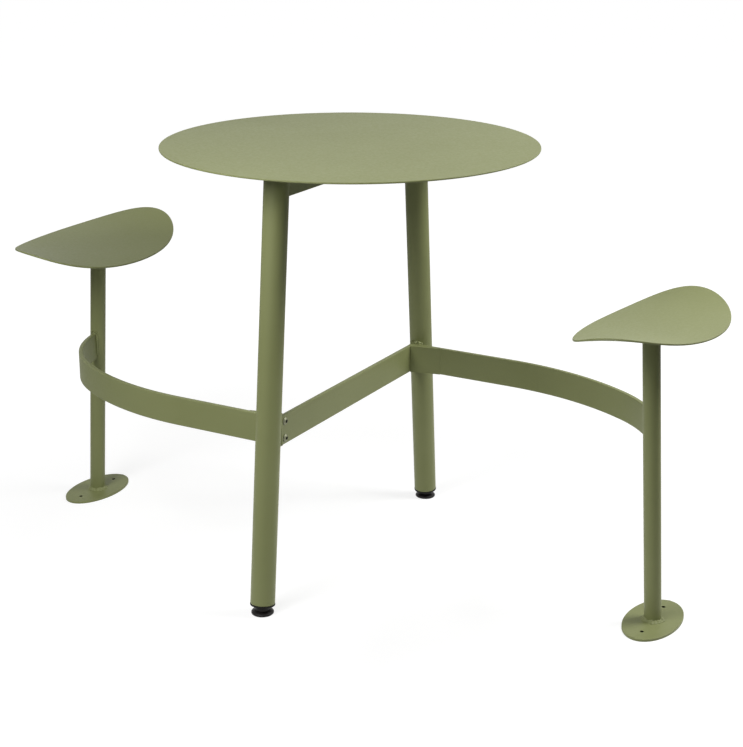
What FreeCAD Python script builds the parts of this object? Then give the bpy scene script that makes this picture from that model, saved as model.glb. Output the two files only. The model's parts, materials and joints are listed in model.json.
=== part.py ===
import FreeCAD, Part
import Sketcher
import math
import os
from types import SimpleNamespace

# A round garden table with two attached saddle seats.  Every length is in
# millimetres and every angle in degrees.  +Z is up, the floor is z = 0, the
# X axis runs through both seat posts and the Y axis through both table legs.
# The frame is two equal halves: one turned by half a turn about the table's
# own axis makes the other.

os.makedirs("parts", exist_ok=True)
doc = FreeCAD.newDocument("garden_table")
vec = FreeCAD.Vector

driving = {
    # round top, cut from sheet, with a softened rim
    "tableHeight": 740,
    "topDiameter": 636,
    "topThickness": 3,
    "topEdgeRound": 1,
    # leaning table legs of round tube
    "legDiameter": 41.3,
    "legWall": 2,
    "legFootReach": 293.3,
    "legTopReach": 212.5,
    "legTopShift": 9.5,
    "legClearance": 18,
    # plates on the leg tops and the studs that hold the top
    "mountPlateThickness": 4,
    "mountPlateWidth": 84,
    "mountPlateDepth": 50,
    "studDiameter": 6,
    "studLength": 16,
    "studSpacing": 64,
    "studPlay": 0.3,
    "nutAcrossFlats": 10,
    "nutHeight": 5,
    "nutPlay": 0.05,
    "topCrossbarHeight": 45,
    # flat bar of the lower frame
    "barThickness": 8,
    "barHeight": 50,
    "barBottom": 277.7,
    "barEdgeRound": 1.5,
    "armTail": 6,
    "armStraight": 201.3,
    "armFirstTurn": 31.26,
    "armSecondTurn": 46.32,
    "armPostGap": 0.25,
    # corner wedges and the screws that clamp the lower crossbar to them
    "wedgeDepth": 14,
    "wedgeWidth": 46,
    "wedgeTip": 1,
    "screwInset": 6.2,
    "screwSpacing": 29.5,
    "screwDiameter": 6,
    "screwLength": 22,
    "screwHeadDiameter": 12,
    "screwHeadHeight": 3.6,
    "screwHeadRim": 0.7,
    "screwHeadFlat": 5.2,
    "screwSocket": 4,
    "screwSocketDepth": 2.2,
    "screwEndBevel": 0.8,
    "screwPlay": 0.3,
    "threadPlay": 0.05,
    # seat posts of thinner round tube
    "postDiameter": 28.6,
    "postWall": 2,
    "postFootReach": 575.8,
    "postLean": 3.64,
    # floor plates under the posts
    "basePlateLength": 160,
    "basePlateWidth": 91,
    "basePlateThickness": 4,
    "basePlateEdgeRound": 0.8,
    "floorHoleDiameter": 6.5,
    "floorHoleSpacing": 102.8,
    "footWeldSize": 3.6,
    # saddle seats, bent from sheet and cut to an oval
    "seatHeight": 500.4,
    "seatLength": 377.6,
    "seatWidth": 221.6,
    "seatThickness": 3,
    "seatEdgeRound": 0.8,
    "seatFlatLength": 56,
    "seatBendRadius": 501,
    "seatTilt": 5.47,
    "seatRoll": 1.43,
    "seatTwist": 0.19,
    "seatOffset": 1.8,
    "seatSide": 2,
    # levelling feet under the legs
    "capFlange": 3,
    "capOverhang": 0.4,
    "capPlug": 18,
    "capPlay": 0.05,
    "insertDiameter": 13,
    "insertLength": 16,
    "stemDiameter": 8,
    "stemLength": 40,
    "stemBevel": 0.8,
    "stemPlay": 0.05,
    "ballDiameter": 13,
    "ballPlay": 0.05,
    "padFloor": 2.3,
    "padDiameter": 38,
    "padRim": 2,
    "padShoulder": 5.5,
    "padShoulderDiameter": 27,
    "padNeckDiameter": 24,
    "padHeight": 13,
    # how far cutting shapes run past what they cut
    "overrun": 6,
}

sheet = doc.addObject("Spreadsheet::Sheet", "sizes")
for row, (word, number) in enumerate(driving.items(), 1):
    sheet.set("A%d" % row, word)
    sheet.set("B%d" % row, str(number))
    sheet.setAlias("B%d" % row, word)
doc.recompute()


class Size:
    # a length or angle that knows both its formula in the sheet and its value
    def __init__(self, text, value):
        self.text = text
        self.value = value

    def join(self, sign, other, value):
        return Size("(%s %s %s)" % (self.text, sign, sized(other).text), value)

    def __add__(self, other):
        return self.join("+", other, self.value + sized(other).value)

    def __sub__(self, other):
        return self.join("-", other, self.value - sized(other).value)

    def __mul__(self, other):
        return self.join("*", other, self.value * sized(other).value)

    def __truediv__(self, other):
        return self.join("/", other, self.value / sized(other).value)

    def __rsub__(self, other):
        return sized(other) - self

    def __neg__(self):
        return Size("(-1 * %s)" % self.text, -self.value)


def sized(thing):
    if isinstance(thing, Size):
        return thing
    return Size(str(thing), thing)


def sin(angle):
    return Size("sin(%s)" % angle.text, math.sin(math.radians(angle.value)))


def cos(angle):
    return Size("cos(%s)" % angle.text, math.cos(math.radians(angle.value)))


def tan(angle):
    return Size("tan(%s)" % angle.text, math.tan(math.radians(angle.value)))


def root(square):
    return Size("sqrt(%s)" % square.text, math.sqrt(square.value))


def slope(rise, run):
    value = math.degrees(math.atan2(rise.value, run.value))
    return Size("(atan2(%s; %s) / 1 deg)" % (rise.text, run.text), value)


d = SimpleNamespace(**{word: Size("sizes." + word, sheet.get(word)) for word in driving})


def at(turn, x=0, y=0, z=0, yaw=0, pitch=0, roll=0):
    # a place in the half that is turned by the given angle about the table's axis
    place = tuple(sized(value).text for value in (x, y, z, yaw, pitch, roll))
    inner = "placement(vector(%s; %s; %s); rotation(%s; %s; %s))" % place
    return "placement(vector(0; 0; 0); rotation(%d; 0; 0)) * %s" % (turn, inner)


def newBody(name, place):
    body = doc.addObject("PartDesign::Body", name)
    body.setExpression("Placement", place)
    return body


def newSketch(body, name, role, lift=0):
    sketch = body.newObject("Sketcher::SketchObject", name)
    plane = [item for item in body.Origin.OriginFeatures if item.Role == role][0]
    sketch.AttachmentSupport = [(plane, "")]
    sketch.MapMode = "FlatFace"
    offset = "placement(vector(0; 0; %s); rotation(0; 0; 0))" % sized(lift).text
    sketch.setExpression("AttachmentOffset", offset)
    return sketch


def bindLast(sketch, index, length):
    sketch.setExpression("Constraints[%d]" % index, length.text)


def pin(sketch, shape, point, x, y):
    # fixes one point of a sketch at named distances from the sketch's origin
    for kind, length, axis in (("DistanceX", x, -2), ("DistanceY", y, -1)):
        if isinstance(length, Size):
            rule = Sketcher.Constraint(kind, -1, 1, shape, point, length.value)
            bindLast(sketch, sketch.addConstraint(rule), length)
        else:
            sketch.addConstraint(Sketcher.Constraint("PointOnObject", shape, point, axis))


def circle(sketch, x, y, radius):
    middle = vec(sized(x).value, sized(y).value, 0)
    shape = sketch.addGeometry(Part.Circle(middle, vec(0, 0, 1), radius.value), False)
    pin(sketch, shape, 3, x, y)
    rule = Sketcher.Constraint("Radius", shape, radius.value)
    bindLast(sketch, sketch.addConstraint(rule), radius)


def outline(sketch, corners, bends=None):
    # a closed outline; bends gives centre x, centre y and radius for the arcs,
    # by the number of the corner that each one starts from
    bends = bends or {}
    flat = [vec(sized(x).value, sized(y).value, 0) for x, y in corners]
    ends = []
    for i, start in enumerate(flat):
        end = flat[(i + 1) % len(flat)]
        if i in bends:
            cx, cy, radius = bends[i]
            middle = vec(sized(cx).value, sized(cy).value, 0)
            a = start - middle
            b = end - middle
            forward = a.x * b.y - a.y * b.x > 0
            if not forward:
                a, b = b, a
            ring = Part.Circle(middle, vec(0, 0, 1), radius.value)
            arc = Part.ArcOfCircle(ring, math.atan2(a.y, a.x), math.atan2(b.y, b.x))
            shape = sketch.addGeometry(arc, False)
            rule = Sketcher.Constraint("Radius", shape, radius.value)
            bindLast(sketch, sketch.addConstraint(rule), radius)
            ends.append((shape, 1, 2) if forward else (shape, 2, 1))
        else:
            shape = sketch.addGeometry(Part.LineSegment(start, end), False)
            ends.append((shape, 1, 2))
    for i, (shape, first, last) in enumerate(ends):
        after, afterFirst, _ = ends[(i + 1) % len(ends)]
        sketch.addConstraint(Sketcher.Constraint("Coincident", shape, last, after, afterFirst))
        pin(sketch, shape, first, *corners[i])


def rectangle(sketch, x, y):
    outline(sketch, [(-x, -y), (x, -y), (x, y), (-x, y)])


def oval(sketch, halfX, halfY):
    # an ellipse about the sketch's origin, its long way along the sketch's Y
    curve = Part.Ellipse(vec(0, halfY.value, 0), vec(halfX.value, 0, 0), vec(0, 0, 0))
    shape = sketch.addGeometry(curve, False)
    sketch.exposeInternalGeometry(shape)
    sketch.addConstraint(Sketcher.Constraint("Coincident", shape, 3, -1, 1))
    sketch.addConstraint(Sketcher.Constraint("Vertical", shape + 1))
    for line, length in ((shape + 1, halfY * 2), (shape + 2, halfX * 2)):
        rule = Sketcher.Constraint("Distance", line, length.value)
        bindLast(sketch, sketch.addConstraint(rule), length)


def hexagon(sketch, acrossFlats):
    radius = acrossFlats / root(sized(3))
    half = acrossFlats / 2
    corners = [(radius, 0), (radius / 2, half), (-radius / 2, half), (-radius, 0)]
    corners += [(-radius / 2, -half), (radius / 2, -half)]
    outline(sketch, corners)


def pad(body, sketch, length, middle=False):
    feature = body.newObject("PartDesign::Pad", sketch.Name + "Pad")
    feature.Profile = sketch
    feature.Midplane = middle
    feature.setExpression("Length", length.text)
    doc.recompute()
    return feature


def pocket(body, sketch, length=None, forward=False):
    # cuts right through both ways, or to a named depth along one way
    before = body.Shape.Volume
    feature = body.newObject("PartDesign::Pocket", sketch.Name + "Pocket")
    feature.Profile = sketch
    if length is None:
        feature.Type = "ThroughAll"
        feature.Midplane = True
    else:
        feature.Reversed = forward
        feature.setExpression("Length", length.text)
    doc.recompute()
    if body.Shape.Volume >= before:
        raise ValueError(sketch.Name + " removes nothing")
    return feature


def revolve(body, sketch):
    feature = body.newObject("PartDesign::Revolution", sketch.Name + "Turned")
    feature.Profile = sketch
    feature.ReferenceAxis = (sketch, ["V_Axis"])
    feature.Angle = 360
    doc.recompute()
    return feature


def soften(body, feature, radius, wanted):
    # rounds the edges of a feature that the test picks out
    names = []
    for number, edge in enumerate(feature.Shape.Edges, 1):
        if wanted(edge):
            names.append("Edge%d" % number)
    round_ = body.newObject("PartDesign::Fillet", feature.Name + "Round")
    round_.Base = (feature, names)
    round_.setExpression("Radius", radius.text)
    doc.recompute()
    return round_


def rod(name, place, radius, start, length):
    # a round bar along the local Z axis, used to shape what meets a tube
    body = newBody(name, place)
    sketch = newSketch(body, name + "Ring", "XY_Plane", start)
    circle(sketch, 0, 0, radius)
    pad(body, sketch, length)
    return body


def tube(name, place, radius, wall, start, length):
    body = newBody(name, place)
    sketch = newSketch(body, name + "Ring", "XY_Plane", start)
    circle(sketch, 0, 0, radius)
    circle(sketch, 0, 0, radius - wall)
    pad(body, sketch, length)
    return body


def block(name, place, half, low, high):
    # a square block about the local Z axis, used to trim the end of a tube
    body = newBody(name, place)
    sketch = newSketch(body, name + "Square", "XY_Plane", low)
    rectangle(sketch, half, half)
    pad(body, sketch, high - low)
    return body


def subtract(name, base, tool):
    cut = doc.addObject("Part::Cut", name)
    cut.Base = base
    cut.Tool = tool
    doc.recompute()
    return cut


nodes = []


def keep(thing, node):
    thing.Label = node
    nodes.append(thing)


# places that several pieces share
topUnder = d.tableHeight - d.topThickness
plateUnder = topUnder - d.mountPlateThickness
legRadius = d.legDiameter / 2
legRun = d.legFootReach - d.legTopReach
legSweep = root(legRun * legRun + d.legTopShift * d.legTopShift)
legYaw = slope(-legRun, d.legTopShift)
legPitch = slope(legSweep, d.tableHeight)
postRadius = d.postDiameter / 2
barTop = d.barBottom + d.barHeight
barMiddle = d.barBottom + d.barHeight / 2


def legX(z):
    return d.legTopShift * z / d.tableHeight


def legY(z):
    return d.legFootReach - legRun * z / d.tableHeight


def postX(z):
    return d.postFootReach - z * tan(d.postLean)


# the arm's outer face touches the leg at the bar's top edge
halfBar = d.barThickness / 2
armOuter = legY(barTop) - legRadius / cos(legPitch)
armLine = armOuter - halfBar
armInner = armLine - halfBar
screwLine = armInner - d.screwInset


def legPlace(turn):
    return at(turn, 0, d.legFootReach, 0, legYaw, legPitch)


def postPlace(turn):
    return at(turn, d.postFootReach, 0, 0, 0, -d.postLean)


def seatPlace(turn):
    reach = postX(d.seatHeight) + d.seatOffset
    tilt = (d.seatTwist, -d.seatTilt, -d.seatRoll)
    return at(turn, reach, d.seatSide, d.seatHeight, *tilt)


def makeTop():
    body = newBody("tabletopBody", at(0))
    disc = newSketch(body, "topDisc", "XY_Plane", topUnder)
    circle(disc, 0, 0, d.topDiameter / 2)
    soften(body, pad(body, disc, d.topThickness), d.topEdgeRound,
           lambda edge: isinstance(edge.Curve, Part.Circle))
    keep(body, "tabletop")


def makeStuds():
    studs = []
    nuts = []
    low = topUnder - d.studLength
    for turn, sign in ((0, -1), (0, 1), (180, -1), (180, 1)):
        word = "%d_%d" % (turn, sign + 1)
        x = legX(plateUnder) + d.studSpacing / 2 * sign
        place = at(turn, x, legY(plateUnder))
        studs.append(rod("stud" + word, place, d.studDiameter / 2, low, d.studLength))
        nut = newBody("nut" + word, place)
        flats = newSketch(nut, "nutFlats" + word, "XY_Plane", plateUnder - d.nutHeight)
        hexagon(flats, d.nutAcrossFlats)
        circle(flats, 0, 0, d.studDiameter / 2 + d.nutPlay)
        pad(nut, flats, d.nutHeight)
        nuts.append(nut)
    for node, pieces in (("top_studs", studs), ("top_nuts", nuts)):
        group = doc.addObject("Part::Compound", node + "Group")
        group.Links = pieces
        keep(group, node)


def makeMountPlate(side, turn):
    body = newBody(side + "MountPlate", at(turn, legX(plateUnder), legY(plateUnder)))
    shape = newSketch(body, side + "MountShape", "XY_Plane", plateUnder)
    rectangle(shape, d.mountPlateWidth / 2, d.mountPlateDepth / 2)
    for sign in (-1, 1):
        circle(shape, d.studSpacing / 2 * sign, 0, d.studDiameter / 2 + d.studPlay)
    pad(body, shape, d.mountPlateThickness)
    keep(body, side + "_mount_plate")


def makeLeg(side, turn):
    place = legPlace(turn)
    pipe = tube(side + "LegPipe", place, legRadius, d.legWall, d.legClearance, d.tableHeight)
    above = block(side + "LegTrim", at(turn, legX(plateUnder), legY(plateUnder)),
                  d.legDiameter, plateUnder, d.tableHeight + d.legDiameter)
    keep(subtract(side + "LegCut", pipe, above), side + "_leg")


def makeTopCrossbar():
    low = plateUnder - d.topCrossbarHeight
    middle = plateUnder - d.topCrossbarHeight / 2
    body = newBody("topCrossbarBody", at(0))
    shape = newSketch(body, "topCrossbarShape", "XY_Plane", low)
    rectangle(shape, halfBar, legY(middle))
    soften(body, pad(body, shape, d.topCrossbarHeight), d.barEdgeRound,
           lambda edge: abs(edge.tangentAt(edge.FirstParameter).y) > 0.9
           and edge.CenterOfMass.z < middle.value)
    piece = body
    for side, turn in (("rear", 0), ("front", 180)):
        bar = rod(side + "TopCope", legPlace(turn), legRadius, d.legClearance,
                  d.tableHeight + d.legDiameter)
        piece = subtract(side + "TopCopeCut", piece, bar)
    keep(piece, "top_crossbar")


def makeLowerCrossbar():
    body = newBody("lowerCrossbarBody", at(0))
    shape = newSketch(body, "lowerCrossbarShape", "XY_Plane", d.barBottom)
    rectangle(shape, halfBar, armInner)
    soften(body, pad(body, shape, d.barHeight), d.barEdgeRound,
           lambda edge: abs(edge.tangentAt(edge.FirstParameter).y) > 0.9)
    holes = newSketch(body, "screwHoles", "YZ_Plane")
    for sign in (-1, 1):
        for level in (-1, 1):
            height = barMiddle + d.screwSpacing / 2 * level
            circle(holes, screwLine * sign, height, d.screwDiameter / 2 + d.screwPlay)
    pocket(body, holes)
    keep(body, "lower_crossbar")


def armSpine():
    # radii of the two bends, so that the arm ends square against the post
    first = d.armFirstTurn
    both = d.armFirstTurn + d.armSecondTurn
    stop = postRadius + d.armPostGap
    ahead = postX(barMiddle) - stop * cos(both) - d.armStraight
    across = armLine - stop * sin(both)
    stepX = sin(both) - sin(first)
    stepY = cos(first) - cos(both)
    scale = sin(first) * stepY - stepX * (1 - cos(first))
    wide = (ahead * stepY - stepX * across) / scale
    tight = (sin(first) * across - (1 - cos(first)) * ahead) / scale
    return first, both, wide, tight


def makeArm(side, turn):
    first, both, wide, tight = armSpine()
    wideY = armLine - wide
    tightX = d.armStraight + (wide - tight) * sin(first)
    tightY = wideY + (wide - tight) * cos(first)

    def onWide(radius, angle):
        return d.armStraight + radius * sin(angle), wideY + radius * cos(angle)

    def onTight(radius, angle):
        return tightX + radius * sin(angle), tightY + radius * cos(angle)

    corners = [(-d.armTail, armOuter), (d.armStraight, armOuter),
               onWide(wide + halfBar, first), onTight(tight + halfBar, both),
               onTight(tight - halfBar, both), onWide(wide - halfBar, first),
               (d.armStraight, armInner), (-d.armTail, armInner)]
    bends = {1: (d.armStraight, wideY, wide + halfBar), 2: (tightX, tightY, tight + halfBar),
             4: (tightX, tightY, tight - halfBar), 5: (d.armStraight, wideY, wide - halfBar)}
    body = newBody(side + "ArmBar", at(turn))
    shape = newSketch(body, side + "ArmShape", "XY_Plane", d.barBottom)
    outline(shape, corners, bends)
    strip = pad(body, shape, d.barHeight)
    soften(body, strip, d.barEdgeRound, lambda edge: edge.Length > d.barHeight.value / 2
           and edge.BoundBox.ZLength < d.barEdgeRound.value)
    keep(body, side + "_arm")


def makeWedge(side, turn):
    body = newBody(side + "Wedge", at(turn))
    shape = newSketch(body, side + "WedgeShape", "XY_Plane", d.barBottom)
    far = halfBar + d.wedgeWidth
    outline(shape, [(halfBar, armInner), (halfBar, armInner - d.wedgeDepth),
                    (far, armInner - d.wedgeTip), (far, armInner)])
    pad(body, shape, d.barHeight)
    holes = newSketch(body, side + "WedgeHoles", "YZ_Plane", halfBar)
    for level in (-1, 1):
        height = barMiddle + d.screwSpacing / 2 * level
        circle(holes, screwLine, height, d.screwDiameter / 2 + d.threadPlay)
    pocket(body, holes, d.screwLength - d.barThickness + d.screwEndBevel, True)
    keep(body, side + "_corner_wedge")


def makeScrews():
    headRadius = d.screwHeadDiameter / 2
    shank = d.screwDiameter / 2
    crown = d.screwHeadFlat / 2
    rise = d.screwHeadHeight - d.screwHeadRim
    reach = (headRadius * headRadius - crown * crown) / rise
    domeZ = (d.screwHeadHeight + d.screwHeadRim - reach) / 2
    lift = d.screwHeadRim - domeZ
    dome = root(headRadius * headRadius + lift * lift)
    bevel = d.screwEndBevel
    corners = [(0, -d.screwLength), (shank - bevel, -d.screwLength),
               (shank, bevel - d.screwLength), (shank, 0), (headRadius, 0),
               (headRadius, d.screwHeadRim), (crown, d.screwHeadHeight),
               (0, d.screwHeadHeight)]
    screws = []
    for turn in (0, 180):
        for level in (-1, 1):
            word = "%d_%d" % (turn, level + 1)
            height = barMiddle + d.screwSpacing / 2 * level
            right = sized(-90)
            body = newBody("screw" + word, at(turn, -halfBar, screwLine, height, 0, right))
            profile = newSketch(body, "screwProfile" + word, "XZ_Plane")
            outline(profile, corners, {5: (0, domeZ, dome)})
            revolve(body, profile)
            socket = newSketch(body, "screwSocket" + word, "XY_Plane", d.screwHeadHeight)
            hexagon(socket, d.screwSocket)
            pocket(body, socket, d.screwSocketDepth)
            screws.append(body)
    group = doc.addObject("Part::Compound", "crossbarScrewGroup")
    group.Links = screws
    keep(group, "crossbar_screws")


def makePost(side, turn):
    place = postPlace(turn)
    pipe = tube(side + "PostPipe", place, postRadius, d.postWall, 0,
                d.seatHeight + d.postDiameter)
    below = block(side + "PostFootTrim", at(turn, d.postFootReach), d.postDiameter,
                  -d.overrun, d.basePlateThickness)
    above = block(side + "PostSeatTrim", seatPlace(turn), d.postDiameter,
                  -d.seatThickness, d.postDiameter * 2)
    lower = subtract(side + "PostFootCut", pipe, below)
    keep(subtract(side + "PostSeatCut", lower, above), side + "_post")


def makeBasePlate(side, turn):
    body = newBody(side + "BasePlateBody", at(turn, d.postFootReach))
    shape = newSketch(body, side + "BasePlateShape", "XY_Plane")
    oval(shape, d.basePlateWidth / 2, d.basePlateLength / 2)
    soften(body, pad(body, shape, d.basePlateThickness), d.basePlateEdgeRound,
           lambda edge: isinstance(edge.Curve, Part.Ellipse)
           and edge.CenterOfMass.z > d.basePlateThickness.value / 2)
    holes = newSketch(body, side + "FloorHoles", "XY_Plane")
    for sign in (-1, 1):
        circle(holes, 0, d.floorHoleSpacing / 2 * sign, d.floorHoleDiameter / 2)
    pocket(body, holes)
    # weld bead round the foot of the post, hugging the leaning tube
    bead = newBody(side + "FootWeldBody", at(turn, d.postFootReach))
    section = newSketch(bead, side + "FootWeldSection", "XZ_Plane")
    low = d.basePlateThickness
    inner = postRadius - d.postWall
    outline(section, [(inner, low), (postRadius + d.footWeldSize, low),
                      (postRadius, low + d.footWeldSize), (inner, low + d.footWeldSize)])
    revolve(bead, section)
    bar = rod(side + "FootWeldCope", postPlace(turn), postRadius, 0, d.seatHeight)
    ring = subtract(side + "FootWeldCut", bead, bar)
    joined = doc.addObject("Part::Fuse", side + "BasePlateJoined")
    joined.Base = body
    joined.Tool = ring
    doc.recompute()
    keep(joined, side + "_base_plate")


def makeSeat(side, turn):
    flat = d.seatFlatLength / 2
    inside = d.seatBendRadius
    outside = d.seatBendRadius + d.seatThickness
    along = d.seatLength / 2 + d.overrun - flat
    lift = inside - root(inside * inside - along * along)
    turned = along / inside
    outAlong = outside * turned
    outLift = inside - root(outside * outside - outAlong * outAlong)
    corners = [(-flat, -d.seatThickness), (flat, -d.seatThickness),
               (flat + outAlong, outLift), (flat + along, lift), (flat, 0),
               (-flat, 0), (-flat - along, lift), (-flat - outAlong, outLift)]
    bends = {1: (flat, inside, outside), 3: (flat, inside, inside),
             5: (-flat, inside, inside), 7: (-flat, inside, outside)}
    body = newBody(side + "SeatBody", seatPlace(turn))
    profile = newSketch(body, side + "SeatProfile", "YZ_Plane")
    outline(profile, corners, bends)
    pad(body, profile, d.seatWidth + d.overrun * 2, True)
    rim = newSketch(body, side + "SeatRim", "XY_Plane")
    oval(rim, d.seatWidth / 2, d.seatLength / 2)
    rectangle(rim, d.seatWidth / 2 + d.overrun * 2, d.seatLength / 2 + d.overrun * 3)
    trimmed = pocket(body, rim)
    soften(body, trimmed, d.seatEdgeRound, lambda edge: edge.Length > d.seatWidth.value / 2
           and not isinstance(edge.Curve, (Part.Line, Part.Circle)))
    keep(body, side + "_seat")


def makeFoot(side, turn):
    place = legPlace(turn)
    inside = legRadius - d.legWall - d.capPlay
    core = d.insertDiameter / 2
    low = d.legClearance - d.capFlange
    cap = newBody(side + "CapBody", place)
    section = newSketch(cap, side + "CapSection", "XZ_Plane")
    outline(section, [(core, low), (legRadius + d.capOverhang, low),
                      (legRadius + d.capOverhang, d.legClearance), (inside, d.legClearance),
                      (inside, d.legClearance + d.capPlug), (core, d.legClearance + d.capPlug)])
    revolve(cap, section)
    keep(cap, side + "_leg_cap")

    bush = tube(side + "InsertBody", place, core, core - d.stemDiameter / 2 - d.stemPlay,
                low, d.insertLength)
    keep(bush, side + "_leg_insert")

    # the ball sits in the pad's socket, which keeps the pad flat on the floor
    ball = d.ballDiameter / 2
    socket = ball + d.ballPlay
    ballZ = d.padFloor + socket
    stemRadius = d.stemDiameter / 2
    along = ballZ / cos(legPitch)
    high = along + d.stemLength
    stem = newBody(side + "StemBody", at(turn, 0, d.legFootReach, 0, legYaw, legPitch))
    section = newSketch(stem, side + "StemSection", "XZ_Plane")
    neck = along + root(ball * ball - stemRadius * stemRadius)
    outline(section, [(0, along - ball), (stemRadius, neck), (stemRadius, high - d.stemBevel),
                      (stemRadius - d.stemBevel, high), (0, high)], {0: (0, along, ball)})
    revolve(stem, section)
    keep(stem, side + "_foot_stem")

    lip = d.padHeight - ballZ
    mouth = root(socket * socket - lip * lip)
    under = legX(ballZ)
    pad_ = newBody(side + "PadBody", at(turn, under, legY(ballZ)))
    section = newSketch(pad_, side + "PadSection", "XZ_Plane")
    outline(section, [(0, 0), (d.padDiameter / 2, 0), (d.padDiameter / 2, d.padRim),
                      (d.padShoulderDiameter / 2, d.padShoulder),
                      (d.padNeckDiameter / 2, d.padShoulder), (d.padNeckDiameter / 2, d.padHeight),
                      (mouth, d.padHeight), (0, d.padFloor)], {6: (0, ballZ, socket)})
    revolve(pad_, section)
    keep(pad_, side + "_foot_pad")


makeTop()
makeStuds()
for side, turn in (("front", 180), ("rear", 0)):
    makeMountPlate(side, turn)
    makeLeg(side, turn)
    makeFoot(side, turn)
    makeWedge(side, turn)
makeTopCrossbar()
makeLowerCrossbar()
makeScrews()
for side, turn in (("left", 180), ("right", 0)):
    makeArm(side, turn)
    makePost(side, turn)
    makeBasePlate(side, turn)
    makeSeat(side, turn)

doc.recompute()
faults = []
for thing in doc.Objects:
    if "Invalid" in thing.State or "Error" in thing.State:
        faults.append(thing.Name)
for thing in nodes:
    if thing.Shape.isNull() or not thing.Shape.isValid():
        faults.append(thing.Label)
if faults:
    raise ValueError("failed: " + ", ".join(faults))
for thing in nodes:
    thing.Shape.exportStep("parts/%s.step" % thing.Label)
    box = thing.Shape.BoundBox
    spans = (box.XMin, box.XMax, box.YMin, box.YMax, box.ZMin, box.ZMax)
    print(thing.Label, len(thing.Shape.Solids), "%.1f %.1f  %.1f %.1f  %.1f %.1f" % spans)
first, both, wide, tight = armSpine()
print("bend radii of an arm", round(wide.value, 1), round(tight.value, 1))
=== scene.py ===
import bmesh
import bpy
import json
import math
from mathutils import Matrix, Vector


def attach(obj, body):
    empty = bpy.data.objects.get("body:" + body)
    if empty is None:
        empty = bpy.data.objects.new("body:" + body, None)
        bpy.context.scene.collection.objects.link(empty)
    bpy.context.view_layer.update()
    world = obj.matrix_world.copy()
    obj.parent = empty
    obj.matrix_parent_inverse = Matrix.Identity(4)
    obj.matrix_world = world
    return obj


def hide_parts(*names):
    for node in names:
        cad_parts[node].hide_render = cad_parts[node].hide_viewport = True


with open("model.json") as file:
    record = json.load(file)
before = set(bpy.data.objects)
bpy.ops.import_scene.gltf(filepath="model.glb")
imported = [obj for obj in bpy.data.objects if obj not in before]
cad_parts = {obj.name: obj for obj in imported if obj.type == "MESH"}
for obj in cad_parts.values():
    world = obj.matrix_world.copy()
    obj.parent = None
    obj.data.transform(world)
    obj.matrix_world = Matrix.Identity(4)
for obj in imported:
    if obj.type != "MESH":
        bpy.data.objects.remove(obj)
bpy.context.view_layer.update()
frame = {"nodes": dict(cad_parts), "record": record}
print("frame loaded with", len(frame["nodes"]), "nodes")

photoCamera = {
    "place": (1.3759, -2.3813, 1.246),
    "turn": 0.5105,      # radians about the vertical
    "dip": 0.3197,       # radians below the horizon
    "roll": 0.0035,
    "lens": 79.888,      # millimetres, as the sensor
    "sensor": 36,
    "sees": 60,          # metres
}


def makeCamera():
    data = bpy.data.cameras.new("photoCamera")
    data.lens = photoCamera["lens"]
    data.sensor_width = photoCamera["sensor"]
    data.sensor_fit = "AUTO"
    data.clip_end = photoCamera["sees"]
    camera = bpy.data.objects.new("photoCamera", data)
    bpy.context.scene.collection.objects.link(camera)
    camera.matrix_world = (
        Matrix.Translation(photoCamera["place"])
        @ Matrix.Rotation(photoCamera["turn"], 4, "Z")
        @ Matrix.Rotation(math.pi / 2 - photoCamera["dip"], 4, "X")
        @ Matrix.Rotation(photoCamera["roll"], 4, "Z")
    )
    bpy.context.scene.camera = camera


makeCamera()
print("camera placed")


class Wire:
    # an output of a shader node, which can be added to another or to a number
    def __init__(self, finish, socket):
        self.finish = finish
        self.socket = socket

    def __add__(self, other):
        return self.finish.node("ShaderNodeMath", {"operation": "ADD"}, [self, other])

    __radd__ = __add__


class Finish:
    # one material, or the world, and the nodes that make it
    def __init__(self, owner, shader="Principled BSDF"):
        owner.use_nodes = True
        self.owner = owner
        self.tree = owner.node_tree
        self.shader = self.tree.nodes[shader]

    def node(self, kind, settings=None, values=(), output=0):
        made = self.tree.nodes.new(kind)
        for key, value in (settings or {}).items():
            setattr(made, key, value)
        pairs = values.items() if isinstance(values, dict) else enumerate(values)
        for key, value in pairs:
            self.feed(made.inputs[key], value)
        return Wire(self, made.outputs[output])

    def feed(self, target, value):
        if isinstance(value, Wire):
            self.tree.links.new(value.socket, target)
        else:
            target.default_value = value

    def place(self):
        return self.node("ShaderNodeTexCoord", output="Object")

    def ray(self, kind):
        return self.node("ShaderNodeLightPath", output="Is " + kind + " Ray")

    def noise(self, scale, detail=2.0, rough=0.5, where=None):
        values = {"Vector": where or self.place(), "Scale": scale, "Detail": detail,
                  "Roughness": rough}
        return self.node("ShaderNodeTexNoise", {}, values, "Fac")

    def between(self, value, low, high, fromLow=0.3, fromHigh=0.7):
        values = {"Value": value, "From Min": fromLow, "From Max": fromHigh,
                  "To Min": low, "To Max": high}
        return self.node("ShaderNodeMapRange", {}, values)

    def blend(self, factor, first, second):
        values = {0: factor, 6: first, 7: second}
        return self.node("ShaderNodeMix", {"data_type": "RGBA"}, values, 2)

    def bump(self, height, strength, distance, after=None):
        values = {"Height": height, "Strength": strength, "Distance": distance}
        if after is not None:
            values["Normal"] = after
        return self.node("ShaderNodeBump", {}, values)

    def set(self, **sockets):
        for name, value in sockets.items():
            self.feed(self.shader.inputs[name.replace("_", " ")], value)
        return self.owner


def grey(level):
    return (level, level, level, 1)


def tint(red, green, blue):
    # a colour as a paint chart writes it, turned into linear light
    parts = [part / 255 for part in (red, green, blue)]
    return tuple(p / 12.92 if p <= 0.04045 else ((p + 0.055) / 1.055) ** 2.4 for p in parts) + (1,)


def shaded(colour, share):
    return [part * share for part in tint(*colour)[:3]] + [1]


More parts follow.
